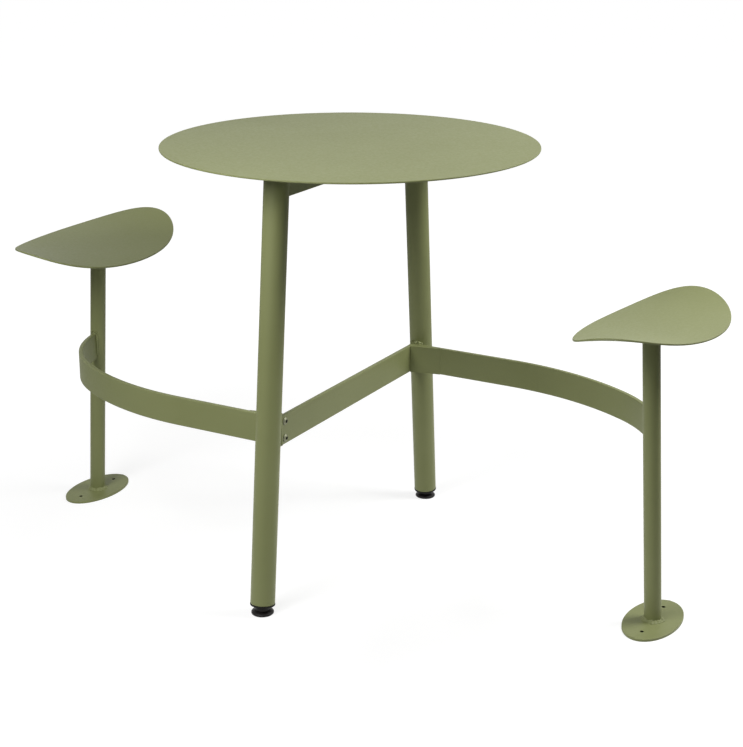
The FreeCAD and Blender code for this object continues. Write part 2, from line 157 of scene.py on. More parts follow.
powderCoat = {
    "light": (126, 131, 87),
    "dark": (121, 126, 81),
    "toneScale": 6.0,
    "peel": {"scale": 240.0, "bump": (0.06, 0.0003)},      # bump as strength and height
    "grain": {"scale": 1500.0, "bump": (0.06, 0.0001)},
    "rough": (0.46, 0.56),
    "gloss": 0.32,
}


def makePowderCoat(name):
    finish = Finish(bpy.data.materials.new(name))
    cloud = finish.between(finish.noise(powderCoat["toneScale"], 3), 0, 1)
    colour = finish.blend(cloud, tint(*powderCoat["dark"]), tint(*powderCoat["light"]))
    fine = finish.noise(powderCoat["grain"]["scale"], 2, 0.6)
    peel = finish.noise(powderCoat["peel"]["scale"], 2)
    soft = finish.bump(peel, *powderCoat["peel"]["bump"])
    grained = finish.bump(fine, *powderCoat["grain"]["bump"], soft)
    return finish.set(Base_Color=colour, Roughness=finish.between(peel, *powderCoat["rough"]),
                      Normal=grained, Specular_IOR_Level=powderCoat["gloss"])


plastic = {"grainScale": 1800, "patchScale": 60, "paler": 1.5, "roughSpread": 0.06,
           "grainBump": (0.3, 0.0001)}


def makePlastic(name, colour, rough, gloss):
    finish = Finish(bpy.data.materials.new(name))
    fine = finish.noise(plastic["grainScale"], 2, 0.6)
    broad = finish.noise(plastic["patchScale"], 2)
    spread, paler = plastic["roughSpread"], shaded(colour, plastic["paler"])
    return finish.set(Base_Color=finish.blend(broad, tint(*colour), paler),
                      Roughness=finish.between(broad, rough - spread, rough + spread),
                      Normal=finish.bump(fine, *plastic["grainBump"]), Specular_IOR_Level=gloss)


steel = {"drawnScale": (900, 900, 60), "spangleScale": 420, "darker": 0.75, "smoother": 0.05,
         "rougher": 0.08, "lineBump": (0.15, 0.0001)}


def makeSteel(name, colour, rough):
    finish = Finish(bpy.data.materials.new(name))
    drawn = finish.node("ShaderNodeMapping", {}, {"Vector": finish.place(),
                                                  "Scale": steel["drawnScale"]})
    lines = finish.noise(1.0, 3.0, where=drawn)
    spangle = finish.noise(steel["spangleScale"], 3, 0.6)
    darker = shaded(colour, steel["darker"])
    return finish.set(Base_Color=finish.blend(spangle, darker, tint(*colour)),
                      Metallic=1.0, Normal=finish.bump(lines, *steel["lineBump"]),
                      Roughness=finish.between(spangle, rough - steel["smoother"],
                                               rough + steel["rougher"]))


coat = makePowderCoat("sagePowderCoat")
capPlastic = makePlastic("blackCapPlastic", (15, 15, 13), rough=0.5, gloss=0.12)
padPlastic = makePlastic("blackPadRubber", (19, 17, 17), rough=0.42, gloss=0.15)
# painted shade: a near-black finish for the insides of holes and sockets, standing in for the
# shade deep inside them
paintedHoleShade = makePlastic("paintedHoleShade", (12, 12, 9), rough=0.7, gloss=0.05)
zinc = makeSteel("zincPlate", (190, 190, 186), rough=0.35)
screwSteel = makeSteel("dullScrewSteel", (121, 123, 102), rough=0.52)
finishes = {"frame_paint": coat, "zinc_steel": zinc, "screw_steel": screwSteel,
            "cap_plastic": capPlastic, "pad_plastic": padPlastic}
for row in frame["record"]["subparts"]:
    mesh = frame["nodes"][row["node"]].data
    mesh.materials.clear()
    mesh.materials.append(finishes[row["material_slot"]])
print("finishes made:", len(finishes))

# lines that several pieces follow, in metres
legLine = {"footReach": 0.2933, "topReach": 0.2125, "topShift": 0.0095, "topHeight": 0.74,
           "radius": 0.02065, "wall": 0.002, "clearance": 0.018, "plateUnder": 0.733}
postLine = {"footReach": 0.5758, "lean": math.radians(3.64), "radius": 0.0143, "wall": 0.002}
flatBar = {"thickness": 0.008, "height": 0.05, "bottom": 0.2777, "edgeRound": 0.0015}
meshing = {"mergeWithin": 1e-6, "cutWithin": 1e-7, "levelWithin": 1e-5, "uprightWithin": 0.1,
           "roundedCorner": 0.8, "sharpEdge": 0.9}      # the last two in radians

unturned = Matrix.Identity(4)
halfTurn = Matrix.Rotation(math.pi, 4, "Z")
legRun = legLine["footReach"] - legLine["topReach"]
legPitch = math.atan2(math.hypot(legRun, legLine["topShift"]), legLine["topHeight"])
legPlace = (Matrix.Translation((0, legLine["footReach"], 0))
            @ Matrix.Rotation(math.atan2(-legRun, legLine["topShift"]), 4, "Z")
            @ Matrix.Rotation(legPitch, 4, "Y"))
postPlace = (Matrix.Translation((postLine["footReach"], 0, 0))
             @ Matrix.Rotation(-postLine["lean"], 4, "Y"))
halfBar = flatBar["thickness"] / 2
barTop = flatBar["bottom"] + flatBar["height"]
barMiddle = flatBar["bottom"] + flatBar["height"] / 2


def legX(z):
    return legLine["topShift"] * z / legLine["topHeight"]


def legY(z):
    return legLine["footReach"] - legRun * z / legLine["topHeight"]


def postX(z):
    return postLine["footReach"] - z * math.tan(postLine["lean"])


armOuter = legY(barTop) - legLine["radius"] / math.cos(legPitch)
armLine = armOuter - halfBar
armInner = armLine - halfBar

# the object's two halves are alike: name of the leg, name of the seat, and whether it is turned
halves = (("rear", "right", False), ("front", "left", True))


def only(kind, things):
    return [thing for thing in things if isinstance(thing, kind)]


def latheShape(corners, closed=False, soften=0.0, steps=64):
    # spins a profile of radius and height about the vertical
    bm = bmesh.new()
    dots = [bm.verts.new((reach, 0, height)) for reach, height in corners]
    for one, other in zip(dots, dots[1:] + dots[:1] if closed else dots[1:]):
        bm.edges.new((one, other))
    if soften:
        bmesh.ops.bevel(bm, geom=dots if closed else dots[1:-1], offset=soften, segments=3,
                        profile=0.5, affect="VERTICES", material=-1)
    bmesh.ops.spin(bm, geom=bm.verts[:] + bm.edges[:], cent=(0, 0, 0), axis=(0, 0, 1),
                   dvec=(0, 0, 0), angle=math.tau, steps=steps, use_merge=True,
                   use_duplicate=False)
    bmesh.ops.remove_doubles(bm, verts=bm.verts, dist=meshing["mergeWithin"])
    return bm


def move(bm, matrix):
    bmesh.ops.transform(bm, matrix=matrix, verts=bm.verts)


def trim(bm, point, normal):
    # cuts away what lies beyond a plane and gives back the edges round the cut
    cut = bmesh.ops.bisect_plane(bm, geom=bm.verts[:] + bm.edges[:] + bm.faces[:],
                                 dist=meshing["cutWithin"], plane_co=point, plane_no=normal,
                                 clear_outer=True)
    return [edge for edge in only(bmesh.types.BMEdge, cut["geom_cut"])
            if edge.is_valid and len(edge.link_faces) == 1]


def softenEdges(bm, radius, wanted, segments=3):
    picked = [edge for edge in bm.edges if len(edge.link_faces) == 2
              and edge.calc_face_angle() > meshing["roundedCorner"] and wanted(edge)]
    bmesh.ops.bevel(bm, geom=picked, offset=radius, segments=segments, profile=0.5,
                    affect="EDGES", material=-1, clamp_overlap=True)


def raiseFaces(bm, lift):
    grown = bmesh.ops.extrude_face_region(bm, geom=bm.faces[:])["geom"]
    bmesh.ops.translate(bm, verts=only(bmesh.types.BMVert, grown), vec=lift)


def addHoles(bm, spacing, radius, segments):
    # two round outlines, to be left open when the sheet is filled
    for sign in (-1, 1):
        hole = bmesh.ops.create_circle(bm, segments=segments, radius=radius)["verts"]
        bmesh.ops.translate(bm, verts=hole, vec=[sign * part / 2 for part in spacing])


def finishPiece(bm, name, nodes=(), turned=False, body="frame", slot="frame_paint", holes=False):
    # faces with material number 1 are the insides of holes, which get a near-black painted shade
    if turned:
        move(bm, halfTurn)
    bmesh.ops.remove_doubles(bm, verts=bm.verts, dist=meshing["mergeWithin"])
    bmesh.ops.recalc_face_normals(bm, faces=bm.faces)
    for face in bm.faces:
        face.smooth = True
    for edge in bm.edges:
        edge.smooth = (len(edge.link_faces) == 2
                       and edge.calc_face_angle() < meshing["sharpEdge"])
    mesh = bpy.data.meshes.new(name)
    bm.to_mesh(mesh)
    bm.free()
    mesh.materials.append(finishes[slot])
    if holes:
        mesh.materials.append(paintedHoleShade)
    piece = bpy.data.objects.new(name, mesh)
    bpy.context.scene.collection.objects.link(piece)
    shading = piece.modifiers.new("evenShading", "WEIGHTED_NORMAL")
    shading.keep_sharp = True
    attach(piece, body)
    if nodes:
        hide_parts(*nodes)


tableTop = {"radius": 0.318, "thickness": 0.003, "height": 0.74, "edgeRound": 0.001, "steps": 256}


def makeTableTop():
    bm = bmesh.new()
    bmesh.ops.create_circle(bm, cap_ends=True, segments=tableTop["steps"],
                            radius=tableTop["radius"])
    bmesh.ops.translate(bm, verts=bm.verts, vec=(0, 0, tableTop["height"] - tableTop["thickness"]))
    raiseFaces(bm, (0, 0, tableTop["thickness"]))
    softenEdges(bm, tableTop["edgeRound"], lambda edge: True)
    finishPiece(bm, "roundTop", ["tabletop"])


makeTableTop()

mountPlate = {"width": 0.084, "depth": 0.05, "thickness": 0.004, "edgeRound": 0.0005,
              "cornerRound": 0.003, "cornerSteps": 5,
              "holeRadius": 0.0033, "holeSpacing": 0.064, "holeSteps": 24}


def makeMountPlate(side, turned):
    bm = bmesh.new()
    x, y = mountPlate["width"] / 2, mountPlate["depth"] / 2
    corners = [bm.verts.new((a * x, b * y, 0)) for a, b in ((-1, -1), (1, -1), (1, 1), (-1, 1))]
    for one, other in zip(corners, corners[1:] + corners[:1]):
        bm.edges.new((one, other))
    bmesh.ops.bevel(bm, geom=corners, offset=mountPlate["cornerRound"],
                    segments=mountPlate["cornerSteps"], profile=0.5, affect="VERTICES",
                    material=-1)
    addHoles(bm, (mountPlate["holeSpacing"], 0, 0), mountPlate["holeRadius"],
             mountPlate["holeSteps"])
    bmesh.ops.triangle_fill(bm, use_beauty=True, edges=bm.edges[:])
    raiseFaces(bm, (0, 0, mountPlate["thickness"]))

    def isLevel(edge):
        return abs(edge.verts[0].co.z - edge.verts[1].co.z) < meshing["levelWithin"]

    softenEdges(bm, mountPlate["edgeRound"], isLevel)
    under = legLine["plateUnder"]
    move(bm, Matrix.Translation((legX(under), legY(under), under)))
    finishPiece(bm, side + "MountPlate", [side + "_mount_plate"], turned)


legTube = {"endRound": 0.00095, "steps": 72}


def makeLeg(side, turned):
    outer, inner = legLine["radius"], legLine["radius"] - legLine["wall"]
    low, high = legLine["clearance"], legLine["topHeight"] + outer
    bm = latheShape([(inner, low), (outer, low), (outer, high), (inner, high)], True,
                    legTube["endRound"], legTube["steps"])
    move(bm, legPlace)
    rims = trim(bm, (0, 0, legLine["plateUnder"]), (0, 0, 1))
    bmesh.ops.bridge_loops(bm, edges=rims)
    finishPiece(bm, side + "LegTube", [side + "_leg"], turned)


for side, hand, turned in halves:
    makeMountPlate(side, turned)
    makeLeg(side, turned)
print("top and legs modelled")


def barFace(bm, x, inner, outer, low, high, corners=(0, 1, 2, 3)):
    # the end of a flat bar, with rounded corners, in a plane across X
    dots = [bm.verts.new((x, y, z))
            for y, z in ((inner, low), (outer, low), (outer, high), (inner, high))]
    bm.faces.new(dots)
    bmesh.ops.bevel(bm, geom=[dots[i] for i in corners], offset=flatBar["edgeRound"], segments=3,
                    profile=0.5, affect="VERTICES", material=-1)
    return bm.faces[:]


topCrossbar = {"height": 0.045, "sink": 0.0006}


def makeTopCrossbar():
    bm = bmesh.new()
    high = legLine["plateUnder"]
    low = high - topCrossbar["height"]
    reach = legY(low)
    barFace(bm, -reach, -halfBar, halfBar, low, high, (0, 1))
    raiseFaces(bm, (2 * reach, 0, 0))
    move(bm, Matrix.Rotation(math.pi / 2, 4, "Z"))
    legSide = legY(high) - legLine["radius"] / math.cos(legPitch)
    beside = Vector((legX(high), legSide + topCrossbar["sink"], high))
    slant = Vector((0, math.cos(legPitch), math.sin(legPitch)))
    for turn in (unturned, halfTurn):
        rims = trim(bm, turn @ beside, turn.to_3x3() @ slant)
        bmesh.ops.holes_fill(bm, edges=rims, sides=0)
    finishPiece(bm, "topCrossbar", ["top_crossbar"])


def makeLowerCrossbar():
    bm = bmesh.new()
    barFace(bm, -armInner, -halfBar, halfBar, flatBar["bottom"], barTop)
    raiseFaces(bm, (2 * armInner, 0, 0))
    move(bm, Matrix.Rotation(math.pi / 2, 4, "Z"))
    finishPiece(bm, "lowerCrossbar", ["lower_crossbar"])


makeTopCrossbar()
makeLowerCrossbar()

arm = {"tail": 0.0044, "straight": 0.2013, "firstTurn": math.radians(31.26),
       "secondTurn": math.radians(46.32), "postGap": 0.00025, "steps": 40}
armTurn = arm["firstTurn"] + arm["secondTurn"]
armStop = postLine["radius"] + arm["postGap"]      # from the post's middle to the arm's end


def armBends():
    # radii of the two bends, so that the arm ends square against the post
    first, both = arm["firstTurn"], armTurn
    ahead = postX(barMiddle) - armStop * math.cos(both) - arm["straight"]
    across = armLine - armStop * math.sin(both)
    stepX = math.sin(both) - math.sin(first)
    stepY = math.cos(first) - math.cos(both)
    scale = math.sin(first) * stepY - stepX * (1 - math.cos(first))
    return ((ahead * stepY - stepX * across) / scale,
            (math.sin(first) * across - (1 - math.cos(first)) * ahead) / scale)


wideBend, tightBend = armBends()
armEnd = Vector((postX(barMiddle) - armStop * math.cos(armTurn), armStop * math.sin(armTurn), 0))


def makeArm(side, turned):
    bm = bmesh.new()
    face = barFace(bm, -arm["tail"], armInner, armOuter, flatBar["bottom"], barTop)
    grown = bmesh.ops.extrude_face_region(bm, geom=face)["geom"]
    bmesh.ops.translate(bm, verts=only(bmesh.types.BMVert, grown),
                        vec=(arm["tail"] + arm["straight"], 0, 0))
    face = only(bmesh.types.BMFace, grown)
    middle = Vector((arm["straight"], armLine - wideBend, 0))
    inward = Vector((math.sin(arm["firstTurn"]), math.cos(arm["firstTurn"]), 0))
    bends = ((middle, arm["firstTurn"]),
             (middle + inward * (wideBend - tightBend), arm["secondTurn"]))
    for centre, angle in bends:
        swept = bmesh.ops.spin(bm, geom=face + face[0].edges[:] + face[0].verts[:], cent=centre,
                               axis=(0, 0, -1), dvec=(0, 0, 0), angle=angle, steps=arm["steps"],
                               use_merge=False, use_duplicate=False)
        face = only(bmesh.types.BMFace, swept["geom_last"])
    finishPiece(bm, side + "Arm", [side + "_arm"], turned)


cornerWedge = {"depth": 0.014, "width": 0.056, "tip": 0.00025, "edgeRound": 0.0011}


def makeWedge(side, turned):
    bm = bmesh.new()
    far = halfBar + cornerWedge["width"]
    outline = ((halfBar, armInner), (halfBar, armInner - cornerWedge["depth"]),
               (far, armInner - cornerWedge["tip"]), (far, armInner))
    bm.faces.new([bm.verts.new((x, y, flatBar["bottom"])) for x, y in outline])
    raiseFaces(bm, (0, 0, flatBar["height"]))
    # the thin end stays sharp
    softenEdges(bm, cornerWedge["edgeRound"],
                lambda edge: edge.verts[0].co.x + edge.verts[1].co.x < far, 2)
    finishPiece(bm, side + "CornerWedge", [side + "_corner_wedge"], turned)


for side, hand, turned in halves:
    makeArm(hand, turned)
    makeWedge(side, turned)
print("bars and arms modelled")

crossbarScrew = {
    "inset": 0.0073, "spacing": 0.0295, "lift": 0.0004, "shank": 0.003, "length": 0.022,
    "head": 0.0066, "height": 0.0034, "rim": 0.0009, "socket": 0.0027, "socketDepth": 0.0024,
    "dome": ((0.8, 0.62), (0.56, 0.93), (0.45, 1)),      # shares of the head's radius and height
    "edgeRound": 0.0002, "steps": 48,
}


def makeScrew():
    size = crossbarScrew
    profile = [(0, -size["length"]), (size["shank"], -size["length"]), (size["shank"], 0),
               (size["head"], 0), (size["head"], size["rim"])]
    profile += [(size["head"] * out, size["height"] * up) for out, up in size["dome"]]
    bm = latheShape(profile, False, size["edgeRound"], size["steps"])
    rim = [edge for edge in bm.edges if len(edge.link_faces) == 1]
    hexagon = bmesh.ops.create_circle(bm, segments=6, radius=size["socket"])["verts"]
    bmesh.ops.translate(bm, verts=hexagon, vec=(0, 0, size["height"]))
    sides = list({edge for vert in hexagon for edge in vert.link_edges})
    bmesh.ops.triangle_fill(bm, use_beauty=True, edges=rim + sides)
    deeper = bmesh.ops.extrude_edge_only(bm, edges=sides)["geom"]
    bmesh.ops.translate(bm, verts=only(bmesh.types.BMVert, deeper),
                        vec=(0, 0, -size["socketDepth"]))
    bmesh.ops.holes_fill(bm, edges=only(bmesh.types.BMEdge, deeper), sides=0)
    # the socket's inside gets the painted shade, material number 1
    for face in bm.faces:
        middle = face.calc_center_median()
        if middle.xy.length < size["socket"] and middle.z > 0:
            face.material_index = 1
    return bm


def makeScrews():
    whole = bmesh.new()
    for turn in (unturned, halfTurn):
        for level in (-0.5, 0.5):
            bm = makeScrew()
            rise = crossbarScrew["lift"] + level * crossbarScrew["spacing"]
            spot = Matrix.Translation((-halfBar, armInner - crossbarScrew["inset"],
                                       barMiddle + rise))
            move(bm, turn @ spot @ Matrix.Rotation(-math.pi / 2, 4, "Y"))
            part = bpy.data.meshes.new("screw")
            bm.to_mesh(part)
            bm.free()
            whole.from_mesh(part)
            bpy.data.meshes.remove(part)
    finishPiece(whole, "crossbarScrews", ["crossbar_screws"], slot="screw_steel", holes=True)


makeScrews()

# the seat's sheet is pressed: rise and lift bend its ends up, lean tips them, and crown and
# droop bend its sides down
saddle = {
    "height": 0.5019, "length": 0.3776, "width": 0.2216, "thickness": 0.003, "edgeRound": 0.0008,
    "offset": 0.0018, "side": 0.002,
    "tilt": math.radians(5.47), "roll": math.radians(1.43), "twist": math.radians(0.19),
    "rise": 0.6113, "lift": 3.67, "lean": 0.926, "crown": 0.29, "droop": 21.9,
    "rings": 20, "steps": 128,
}
seatPlace = (Matrix.Translation((postX(saddle["height"]) + saddle["offset"], saddle["side"],
                                 saddle["height"]))
             @ Matrix.Rotation(saddle["twist"], 4, "Z") @ Matrix.Rotation(-saddle["tilt"], 4, "Y")
             @ Matrix.Rotation(-saddle["roll"], 4, "X"))
seatUp = seatPlace.to_3x3() @ Vector((0, 0, 1))
seatUnder = seatPlace @ Vector((0, 0, -saddle["thickness"]))


def makeSeat(side, turned):
    bm = latheShape([(ring / saddle["rings"], 0) for ring in range(saddle["rings"] + 1)],
                    steps=saddle["steps"])
    bmesh.ops.scale(bm, vec=(saddle["width"] / 2, saddle["length"] / 2, 1), verts=bm.verts)
    for vert in bm.verts:
        across, along = vert.co.x, vert.co.y ** 2
        vert.co.z = (along * (saddle["rise"] + saddle["lift"] * along + saddle["lean"] * across)
                     - across ** 2 * (saddle["crown"] + saddle["droop"] * along))
    bmesh.ops.recalc_face_normals(bm, faces=bm.faces)
    if bm.faces[0].normal.z < 0:
        bmesh.ops.reverse_faces(bm, faces=bm.faces)
    bmesh.ops.solidify(bm, geom=bm.faces[:], thickness=saddle["thickness"])
    softenEdges(bm, saddle["edgeRound"], lambda edge: True)
    move(bm, seatPlace)
    finishPiece(bm, side + "Seat", [side + "_seat"], turned)


seatPost = {"uncutLow": -0.002, "uncutHigh": 0.52, "steps": 64}


def makePost(side, turned):
    outer, inner = postLine["radius"], postLine["radius"] - postLine["wall"]
    low, high = seatPost["uncutLow"], seatPost["uncutHigh"]
    bm = latheShape([(inner, low), (outer, low), (outer, high), (inner, high)], True,
                    steps=seatPost["steps"])
    move(bm, postPlace)
    for point, normal in (((0, 0, floorPlate["thickness"]), (0, 0, -1)), (seatUnder, seatUp)):
        bmesh.ops.bridge_loops(bm, edges=trim(bm, point, normal))
    finishPiece(bm, side + "Post", [side + "_post"], turned)


# a weld bead round a tube: its section, in shares of its size, and how uneven it is
ringBead = {
    "inside": 0.001, "sunk": 0.0004, "toe": 0.0005, "gap": 0.0003, "edgeRound": 0.0003,
    "section": ((0.6, 0.42), (0.25, 0.74)), "crest": 0.92, "stepsPerWave": 8,
    "ripple": 0.8, "lumps": ((1, 5, 1.3), (0.9, 8, 0.4)),      # height, count and shift
    "widthSwell": 0.04, "heightSwell": 0.13,
}


def rippledRing(radius, size, waves):
    # stands on a plane at zero height
    bead = ringBead
    inner, foot, crest = radius - bead["inside"], radius + size, bead["crest"] * size
    corners = [(inner, -bead["sunk"]), (foot, -bead["sunk"]), (foot, bead["toe"])]
    corners += [(radius + out * size, up * size) for out, up in bead["section"]]
    corners += [(radius + bead["gap"], crest), (inner, crest)]
    bm = latheShape(corners, True, bead["edgeRound"], waves * bead["stepsPerWave"])
    for vert in bm.verts:
        turn = math.atan2(vert.co.y, vert.co.x)
        swell = bead["ripple"] * math.sin(turn * waves)
        for part, count, shift in bead["lumps"]:
            swell += part * math.sin(turn * count + shift)
        if vert.co.z > 0:
            reach = math.hypot(vert.co.x, vert.co.y)
            grow = 1 + bead["widthSwell"] * swell * (reach - radius) / size
            vert.co.x *= grow
            vert.co.y *= grow
            vert.co.z *= 1 + bead["heightSwell"] * swell
    return bm


floorPlate = {"length": 0.16, "width": 0.091, "thickness": 0.004, "edgeRound": 0.0008,
              "steps": 128, "holeRadius": 0.00325, "holeSpacing": 0.1028, "holeSteps": 28,
              "besideHole": 0.0001, "weld": 0.0048, "weldWaves": 18}


def makeFloorPlate(side, turned):
    bm = bmesh.new()
    oval = bmesh.ops.create_circle(bm, segments=floorPlate["steps"], radius=0.5)["verts"]
    bmesh.ops.scale(bm, vec=(floorPlate["width"], floorPlate["length"], 1), verts=oval)
    addHoles(bm, (0, floorPlate["holeSpacing"], 0), floorPlate["holeRadius"],
             floorPlate["holeSteps"])
    bmesh.ops.triangle_fill(bm, use_beauty=True, edges=bm.edges[:])
    raiseFaces(bm, (0, 0, floorPlate["thickness"]))

    def isUpperRim(edge):
        clear = floorPlate["holeRadius"] + floorPlate["besideHole"]
        return (min(vert.co.z for vert in edge.verts) > floorPlate["thickness"] / 2
                and abs(edge.verts[0].co.x) > clear)

    softenEdges(bm, floorPlate["edgeRound"], isUpperRim)
    # the walls of the holes get the painted shade, material number 1
    for face in bm.faces:
        middle = face.calc_center_median()
        fromHole = math.hypot(middle.x, abs(middle.y) - floorPlate["holeSpacing"] / 2)
        upright = abs(face.normal.z) < meshing["uprightWithin"]
        if upright and fromHole < floorPlate["holeRadius"]:
            face.material_index = 1
    move(bm, Matrix.Translation((postLine["footReach"], 0, 0)))
    finishPiece(bm, side + "FloorPlate", [side + "_base_plate"], turned, holes=True)
    ring = rippledRing(postLine["radius"], floorPlate["weld"], floorPlate["weldWaves"])
    move(ring, Matrix.Translation((postX(floorPlate["thickness"]), 0, floorPlate["thickness"])))
    finishPiece(ring, side + "FootWeld", turned=turned)


seatWeld = {"size": 0.0032, "waves": 16}


def makeSeatWeld(side, turned):
    ring = rippledRing(postLine["radius"], seatWeld["size"], seatWeld["waves"])
    move(ring, Matrix.Rotation(math.pi, 4, "X"))
    start = Vector((postLine["footReach"], 0, 0))
    lean = postPlace.to_3x3() @ Vector((0, 0, 1))
    where = start + lean * ((seatUnder - start).dot(seatUp) / lean.dot(seatUp))
    move(ring, Matrix.Translation(where) @ seatPlace.to_3x3().to_4x4())
    finishPiece(ring, side + "SeatWeld", turned=turned)


for side, hand, turned in halves:
    makeSeat(hand, turned)
    makePost(hand, turned)
    makeFloorPlate(hand, turned)
    makeSeatWeld(hand, turned)
print("seats, posts and floor plates modelled")

levelFoot = {"capFlange": 0.003, "capOverhang": 0.0004, "capPlug": 0.018, "capEdge": 0.0005,
             "fit": 0.00005, "bore": 0.0065, "stem": 0.004, "pitch": 0.00125,
             "threadDepth": 0.00055, "threadStart": 0.001, "stemLength": 0.04, "stemSteps": 40,
             "ball": 0.0065, "ballHeight": 0.00885, "ballRings": 14, "neckShare": 0.8,
             "bevel": 0.0008}


def makeCap(side, turned):
    low, flat = legLine["clearance"] - levelFoot["capFlange"], legLine["clearance"]
    high = flat + levelFoot["capPlug"]
    inside = legLine["radius"] - legLine["wall"] - levelFoot["fit"]
    reach = legLine["radius"] + levelFoot["capOverhang"]
    bm = latheShape([(levelFoot["bore"], low), (reach, low), (reach, flat), (inside, flat),
                     (inside, high), (levelFoot["bore"], high)], True, levelFoot["capEdge"])
    move(bm, legPlace)
    finishPiece(bm, side + "LegCap", [side + "_leg_cap"], turned, slot="cap_plastic")


def makeStem(side, turned):
    # ball end, then the thread as fine ridges
    along = levelFoot["ballHeight"] / math.cos(legPitch)
    ball, stem, rings = levelFoot["ball"], levelFoot["stem"], levelFoot["ballRings"]
    start = math.asin(stem * levelFoot["neckShare"] / ball)
    profile = [(ball * math.sin(a), along - ball * math.cos(a))
               for a in [i * (math.pi - start) / rings for i in range(rings + 1)]]
    height = profile[-1][1] + levelFoot["threadStart"]
    top = along + levelFoot["stemLength"] - levelFoot["bevel"]
    while height < top:
        profile += [(stem - levelFoot["threadDepth"], height),
                    (stem, height + levelFoot["pitch"] / 2)]
        height += levelFoot["pitch"]
    top += levelFoot["bevel"]
    profile += [(stem - levelFoot["bevel"], top), (0, top)]
    bm = latheShape(profile, steps=levelFoot["stemSteps"])
    move(bm, legPlace)
    finishPiece(bm, side + "FootStem", [side + "_foot_stem"], turned, side + "_stem", "zinc_steel")


# the pad's side, as radius and height from the floor up, and its bowl for the stem's ball
footPad = {
    "profile": ((0, 0), (0.0178, 0), (0.0188, 0.001), (0.019, 0.0022), (0.0188, 0.0034),
                (0.0176, 0.0048), (0.0142, 0.0062), (0.012, 0.0072), (0.012, 0.0122),
                (0.0112, 0.013)),
    "bowlTurn": math.radians(128), "bowlRings": 10, "steps": 64,
}


def makePad(side, turned):
    socket, middle = levelFoot["ball"] + levelFoot["fit"], levelFoot["ballHeight"]
    rings = footPad["bowlRings"]
    bowl = [(socket * math.sin(a), middle - socket * math.cos(a))
            for a in [i * footPad["bowlTurn"] / rings for i in range(rings, -1, -1)]]
    bm = latheShape(list(footPad["profile"]) + bowl, steps=footPad["steps"])
    move(bm, Matrix.Translation((legX(middle), legY(middle), 0)))
    finishPiece(bm, side + "FootPad", [side + "_foot_pad"], turned, side + "_foot", "pad_plastic")


for side, hand, turned in halves:
    makeCap(side, turned)
    makeStem(side, turned)
    makePad(side, turned)
print("levelling feet modelled")

weldBead = {"pitch": 0.0036, "ripple": 0.1, "sides": 10, "stationsPerPitch": 6, "fewest": 8,
            "endShare": 0.02, "slack": 1e-9}


def addBead(bm, points, radius):
    # a painted weld laid along the points, with small ripples and tapered ends
    points = [Vector(point) for point in points]
    lengths = [0.0]
    for one, other in zip(points, points[1:]):
        lengths.append(lengths[-1] + (other - one).length)
    total = lengths[-1]
    stations = max(weldBead["fewest"],
                   round(total / weldBead["pitch"] * weldBead["stationsPerPitch"]))

    def spot(distance):
        for i in range(1, len(points)):
            if distance <= lengths[i] + weldBead["slack"]:
                share = (distance - lengths[i - 1]) / (lengths[i] - lengths[i - 1])
                return points[i - 1].lerp(points[i], share)
        return points[-1]

    def width(distance):
        nearEnd = min(distance, total - distance) / radius
        taper = math.sqrt(max(weldBead["endShare"], 1 - max(0.0, 1 - nearEnd) ** 2))
        ripple = weldBead["ripple"] * math.sin(distance / weldBead["pitch"] * math.tau)
        return radius * taper * (1 + ripple)

    facing = (points[1] - points[0]).to_track_quat("Z", "Y")
    ring = bmesh.ops.create_circle(bm, segments=weldBead["sides"], radius=width(0),
                                   matrix=Matrix.LocRotScale(points[0], facing, None))["verts"]
    edges = list({edge for vert in ring for edge in vert.link_edges})
    ends = edges[:]
    centre = points[0]
    for station in range(1, stations + 1):
        distance = total * station / stations
        grown = bmesh.ops.extrude_edge_only(bm, edges=edges)["geom"]
        edges = only(bmesh.types.BMEdge, grown)
        before, centre = centre, spot(distance)
        turn = (centre - before).to_track_quat("Z", "Y")
        scale = width(distance) / width(total * (station - 1) / stations)
        change = (Matrix.Translation(centre) @ (turn @ facing.inverted()).to_matrix().to_4x4()
                  @ Matrix.Scale(scale, 4) @ Matrix.Translation(-before))
        bmesh.ops.transform(bm, matrix=change, verts=only(bmesh.types.BMVert, grown))
        facing = turn
    openEnds = [edge for edge in ends + edges if len(edge.link_faces) == 1]
    bmesh.ops.holes_fill(bm, edges=openEnds, sides=0)


widestWeld = 0.98      # how far out on a leg a weld lies, as a share of the radius


def legEdge(x, z):
    # where the leg's surface is nearest the table's middle, at a place along X
    aside = min(abs(x - legX(z)), legLine["radius"] * widestWeld)
    return legY(z) - math.sqrt(legLine["radius"] ** 2 - aside ** 2) / math.cos(legPitch)


# arm to leg: over the bar's top edge with three lumps, then down both flanks of the joint
legWeld = {
    "over": ((-0.013, -0.0006), (-0.008, 0.0002), (-0.003, 0.0009), (0.002, 0.0019),
             (0.006, 0.0021), (0.0095, 0.0006), (0.013, -0.0004)),      # place and lift
    "overRadius": 0.0026, "overInset": 0.0008,
    "lumps": ((-0.0085, 0.0006, 0.0034), (0.0008, 0.0012, 0.0042),
              (0.0068, 0.0008, 0.0036)),      # place, lift and radius
    "lumpReach": 0.0035, "lumpInset": (0.0014, 0.0010), "lumpRise": 0.0004,
    "flankLevels": (barTop - 0.002, barMiddle, flatBar["bottom"] + 0.004),
    "flankAside": 0.0085, "flankSpread": 0.06, "flankRadius": 0.0036,
}


